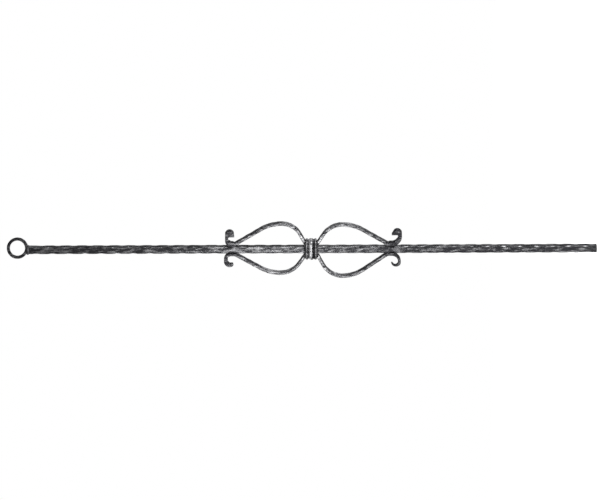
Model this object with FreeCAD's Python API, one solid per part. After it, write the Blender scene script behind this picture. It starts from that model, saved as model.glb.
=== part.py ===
import FreeCAD, Part
import math
import os

V = FreeCAD.Vector

# Wrought iron stair baluster, standing upright: Z runs up the main bar, the foot
# end is at the origin, the ring is at the top, and the scrolls lie in the XZ plane.
# All sizes are in millimetres and degrees.

# Main bar
bar_side = 12.0
bar_length = 965.0
bar_end_chamfer = 0.8

# Marks of the hammer along the corners of the main bar
bar_mark_pitch = 27.45
bar_mark_length = 15.5
bar_mark_depth = 1.4
bar_first_mark_height = 20.4
bar_mark_stagger = 4.1
bar_mark_top_margin = 12.0

# Ring welded on the top end, off centre and turned a little out of line
ring_bore_radius = 12.8
ring_thickness = 5.3
ring_width = 5.3
ring_offset = 3.1
ring_angle = 16.0
ring_seat_depth = 1.2
ring_mark_count = 12
ring_mark_depth = 0.55
ring_mark_shift = 0.25  # as a share of the space between two marks

# Weld bead round the joint of ring and bar
weld_bulge = 1.0
weld_toe = 0.3
weld_height = 1.4
weld_drop = 2.6

# Flat bar of the scrolls, as wide as the main bar
strip_thickness = 5.0
strip_mark_pitch = 15.0
strip_mark_length = 10.8
strip_mark_depth = 0.9
strip_mark_stagger = 3.7
strip_mark_margin = 6.0

# Moulded collar that holds the scroll bars to the main bar
collar_height = 484.2
collar_width = 24.8
collar_edge_thickness = 1.5
collar_step_width = 2.9
collar_step_thickness = 3.2
collar_groove_thickness = 3.8
collar_bead_width = 10.2
collar_bead_thickness = 6.3
collar_side_bead_thickness = 6.1
collar_bead_flats = 4
corner_flats = 3
collar_seam_gap = 0.6
collar_clearance = 0.15

# Bends shared by all four scroll arms
upper_knee_inset = 6.5
lower_knee_inset = 5.5
knee_radius = 5.0
landing_radius = 8.0
seat_length = 4.0
collar_side_fullness = 0.90
outer_side_fullness = 0.70
neck_share = 0.5  # of the neck's bend that is done where its heel ends
head_fillet = 1.5
head_shoulder_angle = 160.0

# Upper arm of the right scroll bar
right_upper_belly = 45.3
right_upper_apex = 49.7
right_upper_landing = 132.2
right_upper_neck_radius = 7.0
right_upper_seat_thickness = 7.0
right_upper_heel_thickness = 8.3
right_upper_neck_thickness = 5.3
right_upper_head_rise = 26.4
right_upper_head_radius = 7.6
right_upper_head_drop = 3.6
right_upper_beak = 0.3

# Lower arm of the right scroll bar
right_lower_belly = 43.5
right_lower_apex = 53.0
right_lower_landing = 133.3
right_lower_neck_radius = 14.2
right_lower_seat_thickness = 6.9
right_lower_heel_thickness = 7.2
right_lower_neck_thickness = 6.2
right_lower_head_rise = 27.4
right_lower_head_radius = 7.7
right_lower_head_drop = 2.0
right_lower_beak = 2.2

# Upper arm of the left scroll bar
left_upper_belly = 42.0
left_upper_apex = 52.0
left_upper_landing = 131.2
left_upper_neck_radius = 10.1
left_upper_neck_thickness = 4.8
left_upper_neck_run = 2.2
left_upper_hook_radius = 7.3
left_upper_hook_angle = 119.0
left_upper_tip_run = 2.5
left_upper_shoulder_thickness = 6.6
left_upper_hook_thickness = 6.6
left_upper_tip_thickness = 2.9
left_upper_tip_width = 11.0

# Lower arm of the left scroll bar
left_lower_belly = 47.7
left_lower_apex = 53.5
left_lower_landing = 131.8
left_lower_neck_radius = 13.9
left_lower_neck_thickness = 3.8
left_lower_neck_run = 0.5
left_lower_hook_radius = 6.5
left_lower_hook_angle = 150.0
left_lower_tip_run = 2.6
left_lower_shoulder_thickness = 4.8
left_lower_hook_thickness = 3.4
left_lower_tip_thickness = 1.8
left_lower_tip_width = 6.5

# A right angle, and sizes that follow from the ones above
quarter_turn = 90.0
strip_width = bar_side
half_bar = bar_side / 2
half_strip = strip_width / 2
ring_outer_radius = ring_bore_radius + ring_thickness
ring_height = bar_length - ring_seat_depth + ring_outer_radius
strip_centre = half_bar + strip_thickness / 2
bundle_half_x = half_bar + strip_thickness
bundle_half_y = half_bar
upper_knee_start = collar_width / 2 - upper_knee_inset
lower_knee_start = collar_width / 2 - lower_knee_inset


def unit(vector):
    """The direction of a vector, with length one."""
    return vector / vector.Length


def flat_face(corners):
    """Flat face inside a closed row of corners."""
    return Part.Face(Part.makePolygon(corners + corners[:1]))


def hammer_mark(corner, along, outward, length, depth):
    """Prism that cuts one shallow hollow of three flats, length long, into a corner.

    Its flats follow a circle, which is as deep as the mark at the middle and meets the
    line of the corner at the mark's two ends.
    """
    radius = (length ** 2 / 4 + depth ** 2) / (2 * depth)
    across = unit(along.cross(outward)) * 2 * depth
    end_angle = math.asin(length / 2 / radius)
    outline = []
    for share in (-2, -1, -1 / 3, 1 / 3, 1, 2):
        angle = share * end_angle
        lift = radius * (1 - math.cos(angle)) - depth
        outline.append(corner + along * (radius * math.sin(angle)) + outward * lift - across)
    return flat_face(outline).extrude(across * 2)


def main_bar():
    """Square bar with hammered corners, its top end hollowed to seat the ring."""
    bar = Part.makeBox(bar_side, bar_side, bar_length, V(-half_bar, -half_bar, 0))
    foot_edges = [edge for edge in bar.Edges if edge.BoundBox.ZMax < bar_end_chamfer]
    bar = bar.makeChamfer(bar_end_chamfer, foot_edges)
    marks = []
    last = bar_length - bar_mark_top_margin
    for index, (x, y) in enumerate(((1, -1), (-1, -1), (-1, 1), (1, 1))):
        corner = V(x * half_bar, y * half_bar, bar_first_mark_height - index * bar_mark_stagger)
        outward = unit(V(x, y, 0))
        while corner.z < last:
            if not under_collar(corner.z):
                marks.append(hammer_mark(corner, V(0, 0, 1), outward,
                                         bar_mark_length, bar_mark_depth))
            corner = corner + V(0, 0, bar_mark_pitch)
    bar = bar.cut(marks)
    return bar.cut(ring_seat())


def under_collar(height):
    """True where a mark on the main bar would run under the collar."""
    reach = (collar_width + bar_mark_length) / 2
    return abs(height - collar_height) < reach


def set_ring(body):
    """Turn a ring made at the origin, with its hole along Y, and set it on the bar."""
    body.rotate(V(0, 0, 0), V(0, 0, 1), ring_angle)
    body.translate(V(ring_offset, 0, ring_height))
    return body


def ring_seat():
    """Solid disc as large as the ring and wider than the bar, which hollows the seat."""
    base = V(0, -bar_side, 0)
    return set_ring(Part.makeCylinder(ring_outer_radius, 2 * bar_side, base, V(0, 1, 0)))


def hammer_flat(corner, outward, depth, size):
    """Block that takes one flat facet off a corner, depth below its tip."""
    block = Part.makeBox(size, size, size, V(-size / 2, -size / 2, 0))
    block.Placement = FreeCAD.Placement(corner - outward * depth,
                                        FreeCAD.Rotation(V(0, 0, 1), outward))
    return block


def top_ring():
    """Ring bent from square bar, with hammered facets along its two outer edges."""
    base = V(0, -ring_width / 2, 0)
    ring = Part.makeCylinder(ring_outer_radius, ring_width, base, V(0, 1, 0))
    ring = ring.cut(Part.makeCylinder(ring_bore_radius, ring_width, base, V(0, 1, 0)))
    facets = []
    for index in range(ring_mark_count):
        for y in (-1, 1):
            angle = 2 * math.pi * (index + ring_mark_shift * y) / ring_mark_count
            radial = V(math.cos(angle), 0, math.sin(angle))
            corner = radial * ring_outer_radius + V(0, y * ring_width / 2, 0)
            facets.append(hammer_flat(corner, unit(radial + V(0, y, 0)), ring_mark_depth,
                                      2 * ring_outer_radius))
    return set_ring(ring.cut(facets))


def wrapped_outline(half_x, half_y, out, height):
    """Corners of an outline that stands out from a rectangle, rounded with flats."""
    points = []
    corners = ((half_x, half_y), (-half_x, half_y), (-half_x, -half_y), (half_x, -half_y))
    for quarter, (x, y) in enumerate(corners):
        for step in range(corner_flats + 1):
            angle = math.radians(quarter_turn * (quarter + step / corner_flats))
            points.append(V(x + out * math.cos(angle), y + out * math.sin(angle), height))
    return points


def wrapped_band(half_x, half_y, profile):
    """Solid whose outside follows a profile of (out, height) all round a rectangle."""
    outlines = [wrapped_outline(half_x, half_y, out, height) for out, height in profile]
    faces = [flat_face(outlines[0][::-1]), flat_face(outlines[-1])]
    for low, high in zip(outlines, outlines[1:]):
        for index in range(len(low)):
            faces.append(flat_face([low[index - 1], low[index], high[index], high[index - 1]]))
    return Part.Solid(Part.Shell(faces))


def ring_weld(bar, ring):
    """Bead run round the joint, filling the gap between the bar's end and the ring."""
    profile = ((weld_toe, -weld_drop), (weld_bulge, -weld_drop / 2),
               (weld_bulge, weld_height / 2), (weld_toe, weld_height))
    bead = wrapped_band(half_bar, half_bar, profile)
    bead.translate(V(0, 0, bar_length))
    return bead.cut(bar).cut(ring)


def heading_vector(heading):
    """Direction of a heading in degrees, in the flat layout of an arm."""
    turn = math.radians(heading)
    return V(math.cos(turn), math.sin(turn), 0)


def trace(start, moves):
    """Follow runs and bends from a start point that heads along the bar.

    A move is ("run", length, thickness) or ("bend", radius, degrees, thickness), with
    the strip's thickness where the move ends. A bend to the left leads away from the
    main bar. The layout has x along the bar, measured from the middle of the collar,
    and y away from the axis of the bar.
    """
    steps = []
    point = start
    heading = 0.0
    before = strip_thickness
    for move in moves:
        after = move[-1]
        if move[0] == "run":
            length = move[1]
            turn = 0.0
            middle = point + heading_vector(heading) * (length / 2)
            finish = point + heading_vector(heading) * length
        else:
            radius = move[1]
            turn = move[2]
            length = radius * math.radians(abs(turn))
            side = math.copysign(quarter_turn, turn)
            centre = point + heading_vector(heading + side) * radius
            middle = centre - heading_vector(heading + turn / 2 + side) * radius
            finish = centre - heading_vector(heading + turn + side) * radius
        steps.append({"start": point, "middle": middle, "finish": finish, "heading": heading,
                      "turn": turn, "length": length, "before": before, "after": after})
        point = finish
        heading = heading + turn
        before = after
    return steps


def place_on(steps, distance):
    """Point and heading at a distance along a traced line."""
    for step in steps:
        if distance <= step["length"] or step is steps[-1]:
            break
        distance = distance - step["length"]
    share = distance / step["length"]
    heading = step["heading"] + step["turn"] * share
    if step["turn"] == 0:
        return step["start"] + heading_vector(heading) * distance, heading
    side = math.copysign(quarter_turn, step["turn"])
    radius = step["length"] / math.radians(abs(step["turn"]))
    centre = step["start"] + heading_vector(step["heading"] + side) * radius
    return centre - heading_vector(heading + side) * radius, heading


def half_thickness(thickness, side):
    """How far an edge stands off the traced line, on side 1 (away from the bar) or -1.

    Metal thicker than the flat bar stands out on the side away from the main bar.
    """
    near = min(thickness, strip_thickness) / 2
    return near if side < 0 else thickness - near


def edge_line(steps, side, extra=0.0):
    """One long edge of a strip: side 1 is away from the main bar, side -1 next to it."""
    edges = []
    for step in steps:
        shares = ((step["start"], 0.0), (step["middle"], 0.5), (step["finish"], 1.0))
        points = []
        for point, share in shares:
            thickness = step["before"] + (step["after"] - step["before"]) * share
            heading = step["heading"] + step["turn"] * share
            across = heading_vector(heading + quarter_turn * side)
            points.append(point + across * (half_thickness(thickness, side) + extra))
        if step["turn"] == 0:
            edges.append(Part.LineSegment(points[0], points[2]).toShape())
        else:
            edges.append(Part.Arc(*points).toShape())
    return edges


def strip(steps, end_edges, width, extra=0.0):
    """Flat bar along a traced line, standing on its edge, centred on the layout.

    The end edges close its outline from the side next to the bar to the other side.
    """
    near = edge_line(steps, -1, extra)
    far = edge_line(steps, 1, extra)
    root = Part.LineSegment(far[0].Vertexes[0].Point, near[0].Vertexes[0].Point).toShape()
    outline = Part.Wire(Part.__sortEdges__(near + far + end_edges + [root]))
    body = Part.Face(outline).extrude(V(0, 0, width))
    body.translate(V(0, 0, -width / 2))
    return body


def polyline(points):
    """Straight edges from point to point."""
    return [Part.LineSegment(a, b).toShape() for a, b in zip(points, points[1:])]


def end_points(steps):
    """Corners of a strip's end: next to the bar, then away from it."""
    step = steps[-1]
    across = heading_vector(step["heading"] + step["turn"] + quarter_turn)
    return (step["finish"] - across * half_thickness(step["after"], -1),
            step["finish"] + across * half_thickness(step["after"], 1))


def sweep_moves(reach, rise, first_radius, fullness):
    """Bend, run and belly that lead up through a rise, level at both ends."""
    widest = (reach ** 2 + rise ** 2) / (2 * rise)
    total = fullness * widest
    span = math.hypot(reach, rise - total)
    angle = math.degrees(math.atan2(rise - total, reach) + math.asin(total / span))
    run = math.sqrt(span ** 2 - total ** 2)
    return angle, run, total - first_radius


def rising_moves(knee_start, belly, apex):
    """Moves of a scroll arm from the middle of the collar to the top of its belly."""
    up, up_run, up_radius = sweep_moves(apex - knee_start, belly - strip_centre, knee_radius,
                                        collar_side_fullness)
    return [("run", knee_start, strip_thickness), ("bend", knee_radius, up, strip_thickness),
            ("run", up_run, strip_thickness), ("bend", up_radius, -up, strip_thickness)]


def falling_moves(belly, apex, landing, seat_thickness):
    """Moves of a scroll arm from the top of its belly to its seat on the main bar."""
    down, down_run, down_radius = sweep_moves(landing - apex, belly - strip_centre,
                                              landing_radius, outer_side_fullness)
    return [("bend", down_radius, -down, strip_thickness), ("run", down_run, strip_thickness),
            ("bend", landing_radius, down, seat_thickness),
            ("run", seat_length, seat_thickness)]


def rolled_arm(knee_start, belly, apex, landing, neck_radius, seat, heel, neck, rise, radius,
               drop, beak):
    """Scroll arm whose neck turns away from the bar and ends in a rolled, snub head.

    Seat, heel and neck are thicknesses. The middle of the head stands off the axis of
    the bar by its rise, its flat underside is nearer by the drop, and the beak is how
    far the snout reaches past the round of the head.
    """
    arc = rising_moves(knee_start, belly, apex) + falling_moves(belly, apex, landing, seat)
    end = [("bend", neck_radius, quarter_turn * neck_share, heel),
           ("bend", neck_radius, quarter_turn * (1 - neck_share), neck),
           ("run", rise - drop - head_fillet - strip_centre - neck_radius, neck)]
    steps = trace(V(0, strip_centre, 0), arc + end)
    outer, inner = end_points(steps)
    side = V(outer.x, rise, 0)
    centre = side - V(radius, 0, 0)
    shoulder = centre + heading_vector(head_shoulder_angle) * radius
    underside = rise - drop
    crown = Part.Arc(side, centre + V(0, radius, 0), shoulder).toShape()
    head = polyline([outer, side]) + [crown]
    head = head + polyline([shoulder, V(centre.x - radius - beak, underside, 0),
                            V(inner.x - head_fillet, underside, 0), inner])
    marks = strip_marks(steps[:len(arc)])
    return strip(steps, head, strip_width).cut(marks)


def hooked_arm(knee_start, belly, apex, landing, neck_radius, neck, neck_run, hook_radius,
               hook_angle, tip_run, shoulder, middle, tip_thickness, tip_width):
    """Scroll arm whose end is drawn out into an open hook that curls to the collar."""
    arc = rising_moves(knee_start, belly, apex)
    arc = arc + falling_moves(belly, apex, landing, strip_thickness)
    end = [("bend", neck_radius, quarter_turn * neck_share, neck),
           ("bend", neck_radius, quarter_turn * (1 - neck_share), shoulder),
           ("run", neck_run, shoulder), ("bend", hook_radius, hook_angle / 2, middle),
           ("bend", hook_radius, hook_angle / 2, (middle + tip_thickness) / 2),
           ("run", tip_run, tip_thickness)]
    steps = trace(V(0, strip_centre, 0), arc + end)
    body = strip(steps, polyline(end_points(steps)), strip_width)
    body = body.cut(strip_marks(steps[:len(arc)]))
    shoulder_run, last_bend, tip = steps[-4], steps[-2], steps[-1]
    return narrowed(body, shoulder_run["start"], last_bend["middle"], tip["finish"], tip_width)


def narrowed(body, neck, bottom, tip, tip_width):
    """Hook with its two faces slanted in, from full width at the neck to the tip's width."""
    reach = 4 * (bottom - neck).Length
    slope = (strip_width - tip_width) / 2 / (bottom - neck).Length
    lead = unit(bottom - neck)
    for face in (-1, 1):
        normal = unit(lead * slope + V(0, 0, face))
        block = Part.makeBox(reach, reach, reach, V(-reach / 2, -reach / 2, 0))
        block.Placement = FreeCAD.Placement(neck + V(0, 0, face * half_strip),
                                            FreeCAD.Rotation(V(0, 0, 1), normal))
        keep = Part.makeBox(2 * reach, neck.y, 2 * reach, V(tip.x - reach, 0, -reach))
        body = body.cut(block.cut(keep))
    return body


def strip_marks(steps):
    """Marks of the hammer along the four corners of a scroll arm, from knee to landing.

    The steps start with the run and bend of the knee and end with the landing and seat.
    """
    first = sum(step["length"] for step in steps[:2]) + strip_mark_margin
    last = sum(step["length"] for step in steps[:-2]) - strip_mark_margin
    marks = []
    for row, (side, face) in enumerate(((1, 1), (-1, 1), (-1, -1), (1, -1))):
        distance = first + row * strip_mark_stagger
        while distance < last:
            point, heading = place_on(steps, distance)
            normal = heading_vector(heading + quarter_turn) * side
            corner = point + normal * (strip_thickness / 2) + V(0, 0, face * half_strip)
            marks.append(hammer_mark(corner, heading_vector(heading),
                                     unit(normal + V(0, 0, face)),
                                     strip_mark_length, strip_mark_depth))
            distance = distance + strip_mark_pitch
    return marks


def set_in_place(body, side, direction):
    """Turn an arm from its layout to its side of the bar, heading up (1) or down (-1).

    The first turn carries the layout's x to Z, its y to X and its z to Y.
    """
    body.rotate(V(0, 0, 0), V(1, 1, 1), -120)
    if side < 0:
        body.rotate(V(0, 0, 0), V(0, 0, 1), 180)
    if direction < 0:
        body.rotate(V(0, 0, 0), V(side, 0, 0), 180)
    body.translate(V(0, 0, collar_height))
    return body


def right_scroll():
    """Scroll bar on the right of the main bar, with a rolled head at each end."""
    upper = rolled_arm(upper_knee_start, right_upper_belly, right_upper_apex,
                       right_upper_landing, right_upper_neck_radius,
                       right_upper_seat_thickness, right_upper_heel_thickness,
                       right_upper_neck_thickness, right_upper_head_rise,
                       right_upper_head_radius, right_upper_head_drop, right_upper_beak)
    lower = rolled_arm(lower_knee_start, right_lower_belly, right_lower_apex,
                       right_lower_landing, right_lower_neck_radius,
                       right_lower_seat_thickness, right_lower_heel_thickness,
                       right_lower_neck_thickness, right_lower_head_rise,
                       right_lower_head_radius, right_lower_head_drop, right_lower_beak)
    return set_in_place(upper, 1, 1).fuse(set_in_place(lower, 1, -1))


def left_scroll():
    """Scroll bar on the left of the main bar, with an open hook at each end."""
    upper = hooked_arm(upper_knee_start, left_upper_belly, left_upper_apex,
                       left_upper_landing, left_upper_neck_radius, left_upper_neck_thickness,
                       left_upper_neck_run, left_upper_hook_radius, left_upper_hook_angle,
                       left_upper_tip_run, left_upper_shoulder_thickness,
                       left_upper_hook_thickness, left_upper_tip_thickness,
                       left_upper_tip_width)
    lower = hooked_arm(lower_knee_start, left_lower_belly, left_lower_apex,
                       left_lower_landing, left_lower_neck_radius, left_lower_neck_thickness,
                       left_lower_neck_run, left_lower_hook_radius, left_lower_hook_angle,
                       left_lower_tip_run, left_lower_shoulder_thickness,
                       left_lower_hook_thickness, left_lower_tip_thickness,
                       left_lower_tip_width)
    return set_in_place(upper, -1, 1).fuse(set_in_place(lower, -1, -1))


def collar_exits():
    """Space that the four arms need where they bend away from under the collar."""
    exits = []
    arms = ((upper_knee_start, right_upper_belly, right_upper_apex, 1, 1),
            (lower_knee_start, right_lower_belly, right_lower_apex, 1, -1),
            (upper_knee_start, left_upper_belly, left_upper_apex, -1, 1),
            (lower_knee_start, left_lower_belly, left_lower_apex, -1, -1))
    for knee_start, belly, apex, side, direction in arms:
        moves = rising_moves(knee_start, belly, apex)
        steps = trace(V(0, strip_centre, 0), moves)[:-1]
        heading = steps[-1]["heading"]
        far_end = [corner + heading_vector(heading + quarter_turn * turn) * collar_clearance
                   for corner, turn in zip(end_points(steps), (-1, 1))]
        body = strip(steps, polyline(far_end), strip_width + 2 * collar_clearance,
                     collar_clearance)
        exits.append(set_in_place(body, side, direction))
    return exits


def bead_corners(low, crest, high):
    """Corners of one bead of the collar, an arc through three points made of flats."""
    arc = Part.Arc(*(V(out, 0, height) for out, height in (low, crest, high))).toShape()
    return [(point.x, point.z) for point in arc.discretize(collar_bead_flats + 1)]


def collar_profile():
    """Large bead between two smaller ones, with a thinner step at each edge."""
    edge = collar_width / 2
    step = edge - collar_step_width
    bead = collar_bead_width / 2
    crest = (step + bead) / 2
    foot = (collar_step_thickness, -step)
    head = (collar_step_thickness, step)
    grooves = [(collar_groove_thickness, height) for height in (-bead, bead)]
    profile = [(collar_edge_thickness, -edge)]
    profile += bead_corners(foot, (collar_side_bead_thickness, -crest), grooves[0])
    profile += bead_corners(grooves[0], (collar_bead_thickness, 0), grooves[1])[1:]
    profile += bead_corners(grooves[1], (collar_side_bead_thickness, crest), head)[1:]
    return profile + [(collar_edge_thickness, edge)]


def collar():
    """Moulded strip wrapped round the bundle, with its butt seam at the back."""
    band = wrapped_band(bundle_half_x, bundle_half_y, collar_profile())
    bundle = Part.makeBox(2 * bundle_half_x, 2 * bundle_half_y, collar_width,
                          V(-bundle_half_x, -bundle_half_y, -collar_width / 2))
    seam = Part.makeBox(collar_seam_gap, 2 * collar_bead_thickness, collar_width,
                        V(-collar_seam_gap / 2, bundle_half_y, -collar_width / 2))
    band = band.cut(bundle).cut(seam)
    band.translate(V(0, 0, collar_height))
    for space in collar_exits():
        band = band.cut(space)
    return band


def main():
    """Build every piece and write each to its own file."""
    ring = top_ring()
    bar = main_bar()
    pieces = {"main_bar": bar, "top_ring": ring, "ring_weld": ring_weld(bar, ring),
              "right_scroll": right_scroll(), "left_scroll": left_scroll(), "collar": collar()}
    os.makedirs("parts", exist_ok=True)
    for name, shape in pieces.items():
        shape.exportStep("parts/" + name + ".step")
        print(name, len(shape.Solids), shape.isValid(), round(shape.Volume, 1))


main()
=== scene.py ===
import math

import bpy
import numpy as np
from mathutils import Matrix, Vector, noise


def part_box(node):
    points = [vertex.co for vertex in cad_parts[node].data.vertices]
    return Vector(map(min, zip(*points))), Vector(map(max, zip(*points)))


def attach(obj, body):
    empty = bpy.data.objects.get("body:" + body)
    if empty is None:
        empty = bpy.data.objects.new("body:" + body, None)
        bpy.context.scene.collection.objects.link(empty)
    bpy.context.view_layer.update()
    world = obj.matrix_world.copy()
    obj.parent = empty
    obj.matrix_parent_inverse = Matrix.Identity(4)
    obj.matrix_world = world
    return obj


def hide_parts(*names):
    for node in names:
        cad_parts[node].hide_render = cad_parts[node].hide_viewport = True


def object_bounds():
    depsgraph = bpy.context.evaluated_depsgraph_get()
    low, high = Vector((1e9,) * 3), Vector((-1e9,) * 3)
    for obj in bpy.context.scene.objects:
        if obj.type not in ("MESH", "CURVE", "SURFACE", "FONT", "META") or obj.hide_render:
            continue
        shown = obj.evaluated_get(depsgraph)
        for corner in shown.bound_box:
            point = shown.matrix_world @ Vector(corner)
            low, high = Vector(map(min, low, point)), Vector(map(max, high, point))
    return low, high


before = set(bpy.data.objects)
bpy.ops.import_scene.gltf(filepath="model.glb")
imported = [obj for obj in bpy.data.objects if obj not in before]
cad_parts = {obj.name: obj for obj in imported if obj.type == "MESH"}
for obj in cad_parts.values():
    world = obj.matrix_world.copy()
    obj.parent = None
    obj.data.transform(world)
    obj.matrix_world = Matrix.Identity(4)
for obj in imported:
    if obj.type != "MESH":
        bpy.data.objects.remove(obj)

CAD_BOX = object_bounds()

bl_info = {
    "name": "Hammered iron baluster",
    "version": (1, 0, 0),
    "blender": (4, 5, 0),
    "location": "View3D > Sidebar > Baluster",
    "description": "Dresses a forged stair baluster and sets up its studio",
    "category": "Object",
}

MM = 0.001

# Bowl of one hammer dent: how far its rim lies from its middle, as a share of the dent's
# width, and how far the rim stands up, as a share of the dent's depth.
DENT_REACH = 0.75
RIM_RISE = 0.4

# Widths of the patches and of the pits in the scale, and how much wear each adds or takes.
PATCH_WIDTH = 3.125 * MM
PATCH_SWING = 0.09
PIT_WIDTH = 3.03 * MM
PIT_SWING = 0.04

# Where the wear and the painted light lie, up or down from the middle of the collar. The bar
# carries a painted sheen of a lamp round the sheen height, the arms of the scrolls carry wear
# up to their heads with painted highlights near the collar and on the bellies, and the collar
# carries wear and painted highlights on its beads.
# Height, reach and fade of the painted sheen of a lamp on the bar's faces.
SHEEN_HEIGHT = 46 * MM
SHEEN_REACH = 70 * MM
SHEEN_FADE = 100 * MM
ARM_END = 140 * MM
ARM_FADE = 10 * MM
# Reach of the painted highlight and wear on the arms near the collar.
ARM_NEAR = 120 * MM
# Where the sides of the bellies carry a painted highlight with their wear.
BELLY_HEIGHT = 50 * MM
BELLY_REACH = 40 * MM
# Painted highlights with wear on the collar's beads: the middle one a little above the collar's
# middle, where the lamp's reflection falls, and the side ones.
CREST_HEIGHT = 1.6 * MM
CREST_REACH = 3.9 * MM
SIDE_BEAD_HEIGHT = 8.1 * MM
SIDE_BEAD_REACH = 2.0 * MM

# Shares of an arm's wear and painted light that its sides, the hollows of its dents and their
# rims get; the small share of the sides is painted shade on them.
ARM_SHADED_SIDE_SHARE = 0.2
ARM_HOLLOW_SHARE = 0.3
ARM_RIM_SHARE = 0.8

# Lamps: name, azimuth in degrees, height over the foot, height that it is aimed at, and the
# two sides of its face. All but the last are mirrored to the camera, by the bar's front, a
# corner or a side.
LAMP_DISTANCE = 1.0
LAMPS = (
    ("front", -18, 0.52, 0.52, (0.2, 0.1)),
    ("foot", -18, 0.02, 0.02, (0.2, 0.1)),
    ("left", -108, 0.85, 0.85, (0.2, 0.4)),
    ("right", 72, 0.10, 0.10, (0.2, 0.4)),
    ("back", 162, 0.25, 0.25, (0.4, 0.4)),
    ("high", 162, 0.88, 0.88, (0.4, 0.4)),
    ("ring", -18, 1.60, 0.60, (0.4, 0.4)),
)

# Middle of the picture, to the right of and above the middle of the bar.
PICTURE_ASIDE = -1.65 * MM
PICTURE_ABOVE = 3 * MM

# The floor reaches this far from the bar and lies this far under its foot.
FLOOR_REACH = 6.0
FLOOR_DROP = 0.5 * MM


def linear(hex_colour):
    """Turn an sRGB hex colour into the linear red, green, blue that shaders take."""
    channels = [int(hex_colour[i:i + 2], 16) / 255 for i in (0, 2, 4)]
    return tuple(c / 12.92 if c <= 0.04045 else ((c + 0.055) / 1.055) ** 2.4 for c in channels)


class ForgeSettings(bpy.types.PropertyGroup):
    """Sizes of the hammer work and of the mesh that carries it."""

    bar_grain: bpy.props.FloatProperty(
        name="Bar grain", description="Mesh size on the long bar",
        default=0.72 * MM, min=0.7 * MM, unit="LENGTH", precision=5)
    scroll_grain: bpy.props.FloatProperty(
        name="Scroll grain", description="Mesh size on the scrolls",
        default=0.6 * MM, min=0.4 * MM, unit="LENGTH", precision=5)
    ring_grain: bpy.props.FloatProperty(
        name="Ring grain", description="Mesh size on the ring and its weld",
        default=0.4 * MM, min=0.3 * MM, unit="LENGTH", precision=5)
    collar_grain: bpy.props.FloatProperty(
        name="Collar grain", description="Mesh size on the collar",
        default=0.3 * MM, min=0.2 * MM, unit="LENGTH", precision=5)
    edge_rounds: bpy.props.IntProperty(
        name="Edge rounds", description="How many times the sharp edges are eased",
        default=0, min=0, max=12)
    bead_rounds: bpy.props.IntProperty(
        name="Bead rounds", description="How many times the collar's beads are eased",
        default=12, min=0, max=20)
    bar_dent: bpy.props.FloatProperty(
        name="Bar dent", description="Width of one hammer dent on the bar",
        default=5.0 * MM, unit="LENGTH", precision=5)
    bar_dent_depth: bpy.props.FloatProperty(
        name="Bar dent depth", description="Depth of one hammer dent on the bar",
        default=0.25 * MM, unit="LENGTH", precision=5)
    scroll_dent: bpy.props.FloatProperty(
        name="Scroll dent", description="Width of one hammer dent on the scrolls and ring",
        default=5.0 * MM, unit="LENGTH", precision=5)
    scroll_dent_depth: bpy.props.FloatProperty(
        name="Scroll dent depth", description="Depth of one hammer dent on the scrolls and ring",
        default=0.20 * MM, unit="LENGTH", precision=5)
    collar_dent_depth: bpy.props.FloatProperty(
        name="Collar dent depth", description="Depth of the faint dents on the collar",
        default=0.04 * MM, unit="LENGTH", precision=5)
    collar_rise: bpy.props.FloatProperty(
        name="Collar rise", description="What is put back on the eased beads",
        default=0.15 * MM, unit="LENGTH", precision=5)
    dent_slant: bpy.props.FloatProperty(
        name="Dent slant", description="How far the rows of dents lean along the bar",
        default=0.6)
    dent_stretch: bpy.props.FloatProperty(
        name="Dent stretch", description="How many times longer than wide a dent is",
        default=3.5, min=1.0)


class WearAndSheenSettings(bpy.types.PropertyGroup):
    """How far the scale wears off, from 0 where it is whole to 1 for bare steel, together with
    painted highlights and a painted sheen on the same scale.
    """

    # Level of the bar's faces round the sheen height: wear, with a painted sheen of a lamp on
    # it.
    bar: bpy.props.FloatProperty(
        name="Bar", description="Wear of the bar's faces where a hand holds it",
        default=0.02)
    # Painted sheen: how much darker the bar's faces are made away from the sheen height.
    sheen_falloff: bpy.props.FloatProperty(
        name="Bar loss", description="What the bar's wear loses away from the hand",
        default=0.045)
    bar_rims: bpy.props.FloatProperty(
        name="Bar rims", description="Added wear on the rims of the bar's dents",
        default=0.10)
    bar_corners: bpy.props.FloatProperty(
        name="Bar corners", description="Added wear on the beaten corners of the bar",
        default=0.12)
    arms: bpy.props.FloatProperty(
        name="Arms", description="Wear of the scrolls between the collar and the heads",
        default=0.10)
    # Painted highlight with wear on the arms near the collar.
    arms_near: bpy.props.FloatProperty(
        name="Arms near the collar", description="Added wear of the scrolls at the collar",
        default=0.11)
    # Painted highlight with wear on the sides of the bellies.
    bellies: bpy.props.FloatProperty(
        name="Bellies", description="Added wear on the sides of the scrolls' bellies",
        default=0.2)
    ring: bpy.props.FloatProperty(
        name="Ring", description="Wear of the ring and its weld",
        default=0.01)
    ring_rims: bpy.props.FloatProperty(
        name="Ring rims", description="Added wear on the rims of the ring's dents",
        default=0.05)
    collar: bpy.props.FloatProperty(
        name="Collar", description="Wear in the grooves of the collar",
        default=0.03)
    # Painted highlight with wear on the middle bead.
    collar_crest: bpy.props.FloatProperty(
        name="Collar crest", description="Added wear on the middle bead of the collar",
        default=0.30)
    # Painted highlight with wear on the side beads.
    collar_sides: bpy.props.FloatProperty(
        name="Collar sides", description="Added wear on the side beads of the collar",
        default=0.12)


class IronColours(bpy.types.PropertyGroup):
    """Colours of forged mild steel with its scale on."""

    scale: bpy.props.FloatVectorProperty(
        name="Forge scale", description="Dark oxide left in the hollows", subtype="COLOR",
        size=3, default=linear("1E1E20"), min=0, max=1)
    steel: bpy.props.FloatVectorProperty(
        name="Rubbed steel", description="Brushed metal on the high spots", subtype="COLOR",
        size=3, default=linear("C8C8CA"), min=0, max=1)


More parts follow.
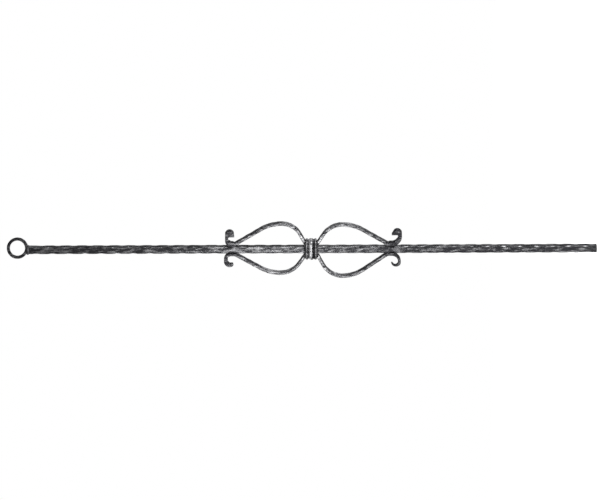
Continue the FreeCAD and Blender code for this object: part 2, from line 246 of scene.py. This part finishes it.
class StudioSettings(bpy.types.PropertyGroup):
    """Camera, lamps and floor of the studio."""

    azimuth: bpy.props.FloatProperty(
        name="Azimuth", description="Camera's turn round the bar from the front",
        default=math.radians(18.0), subtype="ANGLE")
    roll: bpy.props.FloatProperty(
        name="Roll", description="Camera's turn that lays the bar across the picture",
        default=math.radians(90.18), subtype="ANGLE")
    distance: bpy.props.FloatProperty(
        name="Distance", description="Camera's distance from the bar",
        default=12.0, unit="LENGTH")
    picture_length: bpy.props.FloatProperty(
        name="Picture length", description="Real length across the picture at the bar",
        default=1.0171, unit="LENGTH")
    floor_colour: bpy.props.FloatVectorProperty(
        name="Floor colour", description="Colour of floor and backdrop", subtype="COLOR",
        size=3, default=linear("FFFFFF"), min=0, max=1)
    front_power: bpy.props.FloatProperty(
        name="Front power", description="Power of the lamp mirrored by the bar's middle",
        default=5.0, unit="POWER")
    foot_power: bpy.props.FloatProperty(
        name="Foot power", description="Power of the lamp mirrored by the foot of the bar",
        default=2.8, unit="POWER")
    right_power: bpy.props.FloatProperty(
        name="Right power", description="Power of the lamp mirrored by the right front corner",
        default=12.0, unit="POWER")
    left_power: bpy.props.FloatProperty(
        name="Left power", description="Power of the lamp mirrored by the left front corner",
        default=6.0, unit="POWER")
    back_power: bpy.props.FloatProperty(
        name="Back power", description="Power of the lamp mirrored by the right side, low down",
        default=5.0, unit="POWER")
    high_power: bpy.props.FloatProperty(
        name="High power", description="Power of the lamp mirrored by the right side, high up",
        default=2.2, unit="POWER")
    ring_power: bpy.props.FloatProperty(
        name="Ring power", description="Power of the lamp that shines down from above the ring",
        default=1.0, unit="POWER")


def add_node(tree, kind, settings, links):
    """Add one shader node, set its values by name or number, and link its inputs."""
    node = tree.nodes.new(kind)
    for name, value in settings.items():
        if isinstance(name, str) and hasattr(node, name):
            setattr(node, name, value)
        else:
            node.inputs[name].default_value = value
    for name, output in links.items():
        tree.links.new(output, node.inputs[name])
    return node


def swing(tree, texture, amount):
    """Stretch the middle range of a noise texture to run from minus to plus an amount."""
    return add_node(tree, "ShaderNodeMapRange",
                    {"From Min": 0.35, "From Max": 0.65, "To Min": -amount, "To Max": amount},
                    {"Value": texture.outputs["Fac"]}).outputs["Result"]


def forged_steel(colours):
    """Mild steel forged hot by hand, its black scale scoured with a wire brush but not ground
    off.

    The hollows keep a dull, nearly black oxide, and the wire brush leaves the edges and
    the rims of the dents greyer and glossier, so the eye reads every hammer blow.
    """
    material = bpy.data.materials.new("forged_mild_steel")
    material.use_nodes = True
    tree = material.node_tree
    tree.nodes.clear()
    here = add_node(tree, "ShaderNodeTexCoord", {}, {}).outputs["Object"]
    # The brush ran along the bars, so every patch is five times longer than wide.
    place = add_node(tree, "ShaderNodeMapping", {"Scale": (1.0, 1.0, 0.2)},
                     {"Vector": here}).outputs["Vector"]
    # The attribute holds wear together with painted highlights and a painted sheen of the lamps.
    rubbed = add_node(tree, "ShaderNodeAttribute", {"attribute_name": "rubbed"}, {})
    # Patches of thicker scale are about 3 mm wide.
    patches = add_node(tree, "ShaderNodeTexNoise",
                       {"Scale": 1 / PATCH_WIDTH, "Detail": 5.0, "Roughness": 0.6},
                       {"Vector": place})
    # Pits of the scale are under 1 mm across, too fine to show, and are drawn 3 mm across.
    pits = add_node(tree, "ShaderNodeTexNoise",
                    {"Scale": 1 / PIT_WIDTH, "Detail": 4.0, "Roughness": 0.6},
                    {"Vector": here})
    # Wear and painted light, with the patches and pits of the scale added.
    worn_and_lit = add_node(tree, "ShaderNodeMath", {"operation": "ADD"},
                    {0: rubbed.outputs["Fac"], 1: swing(tree, patches, PATCH_SWING)})
    wear = add_node(tree, "ShaderNodeMath", {"operation": "ADD"},
                    {0: worn_and_lit.outputs[0], 1: swing(tree, pits, PIT_SWING)})
    shade = add_node(tree, "ShaderNodeMapRange", {}, {"Value": wear.outputs[0]})
    colour = add_node(tree, "ShaderNodeMix", {"data_type": "RGBA"},
                      {"Factor": shade.outputs["Result"]})
    colour.inputs["A"].default_value = (*colours.scale, 1)
    colour.inputs["B"].default_value = (*colours.steel, 1)
    # Whole scale is duller than scoured steel.
    gloss = add_node(tree, "ShaderNodeMapRange", {"To Min": 0.43, "To Max": 0.30},
                     {"Value": wear.outputs[0]})
    relief = add_node(tree, "ShaderNodeBump", {"Strength": 0.2, "Distance": 0.15 * MM},
                      {"Height": pits.outputs["Fac"]})
    shader = add_node(tree, "ShaderNodeBsdfPrincipled",
                      {"Metallic": 1.0, "Specular Tint": (0.4, 0.4, 0.4, 1)},
                      {"Base Color": colour.outputs["Result"],
                       "Roughness": gloss.outputs["Result"], "Normal": relief.outputs["Normal"]})
    add_node(tree, "ShaderNodeOutputMaterial", {}, {"Surface": shader.outputs["BSDF"]})
    return material


def forged_iron():
    """The one forged steel that all pieces share."""
    found = bpy.data.materials.get("forged_mild_steel")
    return found or forged_steel(bpy.context.scene.iron_colours)


def remeshed(node_name, piece_name, grain, rounds):
    """Copy a CAD node into a new piece with an even mesh of the given grain."""
    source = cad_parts[node_name]
    mesh = source.data.copy()
    mesh.materials.clear()
    rough = bpy.data.objects.new(piece_name + "_rough", mesh)
    bpy.context.scene.collection.objects.link(rough)
    remesh = rough.modifiers.new("grain", "REMESH")
    remesh.mode = "VOXEL"
    remesh.voxel_size = grain
    ease = rough.modifiers.new("ease", "SMOOTH")
    ease.iterations = rounds
    ease.factor = 0.5
    depsgraph = bpy.context.evaluated_depsgraph_get()
    made = bpy.data.meshes.new_from_object(rough.evaluated_get(depsgraph))
    made.name = piece_name
    piece = bpy.data.objects.new(piece_name, made)
    bpy.context.scene.collection.objects.link(piece)
    bpy.data.objects.remove(rough)
    bpy.data.meshes.remove(mesh)
    return piece


def read_points(mesh):
    """Points and normals of a mesh as arrays."""
    points = np.empty(len(mesh.vertices) * 3)
    mesh.vertices.foreach_get("co", points)
    normals = np.empty(len(mesh.vertices) * 3)
    mesh.vertex_normals.foreach_get("vector", normals)
    return points.reshape(-1, 3), normals.reshape(-1, 3)


def dents(points, width, stretch, slant):
    """How deep each point lies in its hammer dent, from 0 on a rim to 1 in the middle."""
    places = points / width
    places[:, 2] = places[:, 2] / stretch + slant * (places[:, 0] + places[:, 1])
    far = np.array([noise.voronoi(Vector(place))[0][0] for place in places])
    return 1 - np.minimum(1.0, far / DENT_REACH) ** 2


def hammered(piece, node_name, width, depth, stretch=1.0, rise=0.0):
    """Beat dents with raised rims into a piece, and give back how deep each point lies.

    The rise puts back what the easing of the edges took off.
    """
    mesh = piece.data
    points, normals = read_points(mesh)
    share = dents(points, width, stretch, bpy.context.scene.forge_settings.dent_slant)
    moved = points + normals * (rise + (RIM_RISE - share) * depth)[:, None]
    low, high = (np.array(corner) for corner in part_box(node_name))
    moved = np.clip(moved, low, high)
    mesh.vertices.foreach_set("co", moved.ravel())
    mesh.update()
    return share


def rubbed(piece, amounts):
    """Write down each point's wear and painted light, 1 for bare steel, and shade it smoothly.
    """
    mesh = piece.data
    attribute = mesh.attributes.new("rubbed", "FLOAT", "POINT")
    attribute.data.foreach_set("value", np.asarray(amounts, dtype=np.float32))
    mesh.polygons.foreach_set("use_smooth", np.ones(len(mesh.polygons), bool))


def finished(piece, node_name):
    """Give a piece its steel and its place in the part."""
    piece.data.materials.append(forged_iron())
    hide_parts(node_name)
    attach(piece, "root")


def above_collar(points):
    """Height of each point over the middle of the collar, below 0 for those under it."""
    low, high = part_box("collar")
    return points[:, 2] - (low.z + high.z) / 2


def fading(distance, reach):
    """Share that falls along a parabola from 1 at no distance to 0 at the reach."""
    return np.clip(1 - (distance / reach) ** 2, 0, 1)


def bar_wear_and_sheen(piece, share):
    """Wear of the bar with a painted sheen: rims and corners are lighter from wear, and the
    faces carry a painted sheen of a lamp round the sheen height that fades away from it.

    The share says how deep each point lies in its dent.
    """
    wear = bpy.context.scene.wear_settings
    points, normals = read_points(piece.data)
    corner = np.minimum(np.abs(normals[:, 0]), np.abs(normals[:, 1])) * math.sqrt(2)
    # Painted sheen: the faces darken with distance from the sheen height.
    distance = np.abs(above_collar(points) - SHEEN_HEIGHT)
    away = np.clip((distance - SHEEN_REACH) / SHEEN_FADE, 0, 1)
    return (wear.bar + wear.bar_rims * (1 - share) ** 2 + wear.bar_corners * corner
            - wear.sheen_falloff * away)


class BALUSTER_OT_main_bar(bpy.types.Operator):
    """Build the square bar with its hammered corners and faces"""

    bl_idname = "baluster.main_bar"
    bl_label = "Main bar"

    def execute(self, context):
        forge = context.scene.forge_settings
        piece = remeshed("main_bar", "hammered_bar", forge.bar_grain, forge.edge_rounds)
        share = hammered(piece, "main_bar", forge.bar_dent, forge.bar_dent_depth,
                         forge.dent_stretch)
        rubbed(piece, bar_wear_and_sheen(piece, share))
        finished(piece, "main_bar")
        return {"FINISHED"}


def arm_wear_and_sheen(piece, share):
    """Wear and painted light of the scrolls, where the share says how deep each point lies in
    its dent.

    The arms carry wear and painted light on the front and back, with painted shade on their
    sides, and painted highlights near the collar and on all sides where the scrolls swell out,
    while the heads and hooks stay black.
    """
    wear = bpy.context.scene.wear_settings
    points, normals = read_points(piece.data)
    height = np.abs(above_collar(points))
    # Painted highlight, with wear, on the arms near the collar.
    near = np.clip(1 - height / ARM_NEAR, 0, 1)
    arm = np.clip((ARM_END - height) / ARM_FADE, 0, 1)
    # Partly wear, partly painted light: front and back faces lighter, sides darker as painted
    # shade.
    faced_wear_and_light = ARM_SHADED_SIDE_SHARE + (1 - ARM_SHADED_SIDE_SHARE) * np.abs(normals[:, 1])
    # Painted highlight with wear on the sides of the bellies.
    belly_wear_and_sheen = fading(height - BELLY_HEIGHT, BELLY_REACH) * np.abs(normals[:, 0])
    brushed_and_lit = (wear.arms * arm + wear.arms_near * near) * faced_wear_and_light + wear.bellies * belly_wear_and_sheen
    return brushed_and_lit * (ARM_HOLLOW_SHARE + ARM_RIM_SHARE * (1 - share) ** 2)


class BALUSTER_OT_scrolls(bpy.types.Operator):
    """Build the two flat bars forged into scrolls"""

    bl_idname = "baluster.scrolls"
    bl_label = "Scrolls"

    def execute(self, context):
        forge = context.scene.forge_settings
        for node_name in ("right_scroll", "left_scroll"):
            piece = remeshed(node_name, "forged_" + node_name, forge.scroll_grain,
                             forge.edge_rounds)
            share = hammered(piece, node_name, forge.scroll_dent, forge.scroll_dent_depth,
                             forge.dent_stretch)
            rubbed(piece, arm_wear_and_sheen(piece, share))
            finished(piece, node_name)
        return {"FINISHED"}


class BALUSTER_OT_ring(bpy.types.Operator):
    """Build the ring and the weld that holds it"""

    bl_idname = "baluster.ring"
    bl_label = "Ring and weld"

    def execute(self, context):
        forge = context.scene.forge_settings
        wear = context.scene.wear_settings
        for node_name, piece_name in (("top_ring", "bent_ring"), ("ring_weld", "weld_bead")):
            piece = remeshed(node_name, piece_name, forge.ring_grain, forge.edge_rounds)
            share = hammered(piece, node_name, forge.scroll_dent, forge.scroll_dent_depth)
            rubbed(piece, wear.ring + wear.ring_rims * (1 - share) ** 2)
            finished(piece, node_name)
        return {"FINISHED"}


def crest_wear_and_highlight(piece):
    """Wear and painted highlights of the collar: its beads are made lighter, most on the middle
    one, where the light band is a painted highlight of a lamp.
    """
    wear = bpy.context.scene.wear_settings
    height = above_collar(read_points(piece.data)[0])
    # Painted highlights with wear on the beads.
    middle = fading(height - CREST_HEIGHT, CREST_REACH)
    side = fading(np.abs(height) - SIDE_BEAD_HEIGHT, SIDE_BEAD_REACH)
    return wear.collar + wear.collar_crest * middle + wear.collar_sides * side


class BALUSTER_OT_collar(bpy.types.Operator):
    """Build the moulded collar round the scrolls and the bar"""

    bl_idname = "baluster.collar"
    bl_label = "Collar"

    def execute(self, context):
        forge = context.scene.forge_settings
        piece = remeshed("collar", "moulded_collar", forge.collar_grain, forge.bead_rounds)
        hammered(piece, "collar", forge.scroll_dent, forge.collar_dent_depth,
                 rise=forge.collar_rise)
        rubbed(piece, crest_wear_and_highlight(piece))
        finished(piece, "collar")
        return {"FINISHED"}


def plainly_seen(tree):
    """1 for what the eye sees, straight or in metal and glass, and 0 for what only lights."""
    rays = add_node(tree, "ShaderNodeLightPath", {}, {})
    shown = rays.outputs["Is Camera Ray"]
    for kind in ("Is Glossy Ray", "Is Transmission Ray"):
        shown = add_node(tree, "ShaderNodeMath", {"operation": "MAXIMUM"},
                         {0: shown, 1: rays.outputs[kind]}).outputs[0]
    return shown


def pale_surface(name, colour):
    """White paper floor, matt and faintly lit from below, so that only shadows show on it."""
    material = bpy.data.materials.new(name)
    material.use_nodes = True
    tree = material.node_tree
    tree.nodes.clear()
    matt = add_node(tree, "ShaderNodeBsdfDiffuse", {"Color": (*colour, 1)}, {})
    glow = add_node(tree, "ShaderNodeEmission", {"Color": (*colour, 1)}, {})
    both = add_node(tree, "ShaderNodeAddShader", {},
                    {0: matt.outputs["BSDF"], 1: glow.outputs["Emission"]})
    half = add_node(tree, "ShaderNodeMath", {"operation": "MULTIPLY", 1: 0.5},
                    {0: plainly_seen(tree)})
    tree.links.new(half.outputs[0], glow.inputs["Strength"])
    add_node(tree, "ShaderNodeOutputMaterial", {}, {"Surface": both.outputs["Shader"]})
    return material


def build_floor(studio):
    """Pale floor on which the foot of the bar stands."""
    mesh = bpy.data.meshes.new("floor")
    corners = [(x * FLOOR_REACH, y * FLOOR_REACH, 0)
               for x, y in ((-1, -1), (1, -1), (1, 1), (-1, 1))]
    mesh.from_pydata(corners, [], [(0, 1, 2, 3)])
    mesh.materials.append(pale_surface("floor_paper", studio.floor_colour))
    floor = bpy.data.objects.new("floor", mesh)
    bpy.context.scene.collection.objects.link(floor)
    floor.location.z = -FLOOR_DROP


def build_world():
    """White surroundings: plain white to the eye and in reflections, softer as light."""
    world = bpy.data.worlds.new("studio")
    bpy.context.scene.world = world
    world.use_nodes = True
    tree = world.node_tree
    tree.nodes.clear()
    strength = add_node(tree, "ShaderNodeMapRange", {"To Min": 0.6, "To Max": 1.0},
                        {"Value": plainly_seen(tree)})
    white = add_node(tree, "ShaderNodeBackground", {"Color": (1, 1, 1, 1)},
                     {"Strength": strength.outputs["Result"]})
    add_node(tree, "ShaderNodeOutputWorld", {}, {"Surface": white.outputs["Background"]})


def build_lamp(name, place, target, size, power):
    """Soft rectangular lamp at a place, aimed at a target."""
    data = bpy.data.lights.new(name, "AREA")
    data.shape = "RECTANGLE"
    data.size, data.size_y = size
    data.energy = power
    lamp = bpy.data.objects.new(name, data)
    lamp.location = place
    aim = (Vector(target) - Vector(place)).to_track_quat("-Z", "Y")
    lamp.rotation_euler = aim.to_euler()
    bpy.context.scene.collection.objects.link(lamp)


def build_camera(studio):
    """Long lens that sees the bar lying across the picture, ring on the left."""
    data = bpy.data.cameras.new("camera")
    data.sensor_width = 36.0
    data.lens = data.sensor_width * studio.distance / studio.picture_length
    data.clip_end = 100.0
    camera = bpy.data.objects.new("camera", data)
    back = Vector((math.sin(studio.azimuth), -math.cos(studio.azimuth), 0))
    side = Vector((math.cos(studio.azimuth), math.sin(studio.azimuth), 0))
    low, high = CAD_BOX
    middle = (low.z + high.z) / 2
    centre = side * PICTURE_ASIDE + Vector((0, 0, middle + PICTURE_ABOVE))
    upright = (-back).to_track_quat("-Z", "Y").to_matrix()
    camera.matrix_world = Matrix.Translation(centre + back * studio.distance) @ (
        upright @ Matrix.Rotation(-studio.roll, 3, "Z")).to_4x4()
    bpy.context.scene.collection.objects.link(camera)
    bpy.context.scene.camera = camera


class BALUSTER_OT_studio(bpy.types.Operator):
    """Build the floor, the light and the camera"""

    bl_idname = "baluster.studio"
    bl_label = "Studio"

    def execute(self, context):
        studio = context.scene.studio_settings
        build_floor(studio)
        build_world()
        for name, azimuth, height, aim, size in LAMPS:
            turn = math.radians(azimuth)
            place = (LAMP_DISTANCE * math.sin(turn), -LAMP_DISTANCE * math.cos(turn), height)
            build_lamp(name, place, (0, 0, aim), size, getattr(studio, name + "_power"))
        build_camera(studio)
        context.scene.view_settings.view_transform = "Standard"
        return {"FINISHED"}


class BALUSTER_PT_panel(bpy.types.Panel):
    """List the settings and the steps that build the baluster"""

    bl_idname = "BALUSTER_PT_panel"
    bl_label = "Baluster"
    bl_space_type = "VIEW_3D"
    bl_region_type = "UI"
    bl_category = "Baluster"

    def draw(self, context):
        for group in GROUPS:
            settings = getattr(context.scene, group)
            for name in settings.__annotations__:
                self.layout.prop(settings, name)
        for step in STEPS:
            self.layout.operator(step.bl_idname)


GROUPS = {"forge_settings": ForgeSettings, "wear_settings": WearAndSheenSettings,
          "iron_colours": IronColours, "studio_settings": StudioSettings}
STEPS = (BALUSTER_OT_main_bar, BALUSTER_OT_scrolls, BALUSTER_OT_ring, BALUSTER_OT_collar,
         BALUSTER_OT_studio)


def register():
    """Make the settings, the steps and the panel known to Blender."""
    for group in GROUPS.values():
        bpy.utils.register_class(group)
    for name, group in GROUPS.items():
        setattr(bpy.types.Scene, name, bpy.props.PointerProperty(type=group))
    for step in STEPS + (BALUSTER_PT_panel,):
        bpy.utils.register_class(step)


def unregister():
    """Take them away again."""
    for step in (BALUSTER_PT_panel,) + STEPS:
        bpy.utils.unregister_class(step)
    for name, group in GROUPS.items():
        delattr(bpy.types.Scene, name)
        bpy.utils.unregister_class(group)


def main():
    """Run every step in order."""
    register()
    bpy.ops.baluster.main_bar()
    bpy.ops.baluster.scrolls()
    bpy.ops.baluster.ring()
    bpy.ops.baluster.collar()
    bpy.ops.baluster.studio()


if __name__ == "__main__":
    main()
